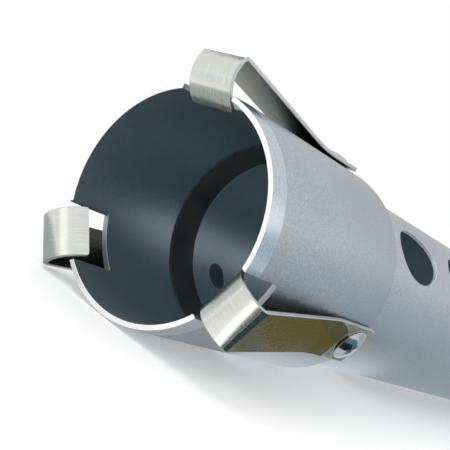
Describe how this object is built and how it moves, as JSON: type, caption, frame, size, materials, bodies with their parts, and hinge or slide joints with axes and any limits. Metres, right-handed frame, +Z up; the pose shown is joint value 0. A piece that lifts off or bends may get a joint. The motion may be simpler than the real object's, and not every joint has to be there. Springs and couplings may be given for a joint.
{
  "type": "golf ball retriever",
  "caption": "Tube-type golf ball retriever: aluminium tube with sight windows, a notched mouth cup with riveted spring clips, a foam grip and a pull-out end cap.",
  "frame": {"origin": "centre of the flat face at the butt, on the tool's axis", "axes": "+X along the tube from the mouth towards the butt, +Z up as the tool lies, +Y to complete the right-handed frame"},
  "size_m": [0.7725, 0.0644, 0.0615],
  "materials": {
    "blasted_aluminium": "bead-blasted satin",
    "turned_aluminium": "turned",
    "spring_steel": "brushed spring strip",
    "rivet_steel": "polished",
    "dark_steel": "blackened",
    "throat_plastic": "matt",
    "cap_plastic": "matt moulded",
    "grip_foam": "closed-cell foam",
    "seal_rubber": "matt"
  },
  "bodies": {
    "retriever": {"head_cup": "blasted_aluminium", "throat_ring": "throat_plastic", "main_tube": "blasted_aluminium", "clip_foot_1": "spring_steel", "clip_foot_2": "spring_steel", "clip_foot_3": "spring_steel", "clip_rivet_1": "rivet_steel", "clip_rivet_2": "rivet_steel", "clip_rivet_3": "rivet_steel", "grip_collar": "turned_aluminium", "grip_sleeve": "grip_foam", "butt_ring": "turned_aluminium", "grip_screws": "dark_steel"},
    "clip_1": {"clip_arm_1": "spring_steel"},
    "clip_2": {"clip_arm_2": "spring_steel"},
    "clip_3": {"clip_arm_3": "spring_steel"},
    "cap": {"end_cap": "cap_plastic", "cap_gasket": "seal_rubber", "cap_seal_front": "seal_rubber", "cap_seal_rear": "seal_rubber"}
  },
  "joints": [
    {"name": "clip_1_flex", "type": "hinge", "parent": "retriever", "child": "clip_1", "pos_m": [-0.72485, 0.00448, 0.02679], "axis": [0, 0.9863, -0.165], "range_deg": [-2.5, 4], "stiffness_Nm_per_rad": 12, "springref_deg": -2.5},
    {"name": "clip_2_flex", "type": "hinge", "parent": "retriever", "child": "clip_2", "pos_m": [-0.72485, -0.02544, -0.00951], "axis": [0, -0.3502, 0.9367], "range_deg": [-2.5, 4], "stiffness_Nm_per_rad": 12, "springref_deg": -2.5},
    {"name": "clip_3_flex", "type": "hinge", "parent": "retriever", "child": "clip_3", "pos_m": [-0.72485, 0.02096, -0.01728], "axis": [0, -0.6361, -0.7716], "range_deg": [-2.5, 4], "stiffness_Nm_per_rad": 12, "springref_deg": -2.5},
    {"name": "cap_pull", "type": "slide", "parent": "retriever", "child": "cap", "axis": [1, 0, 0], "range_m": [0, 0.04]}
  ]
}
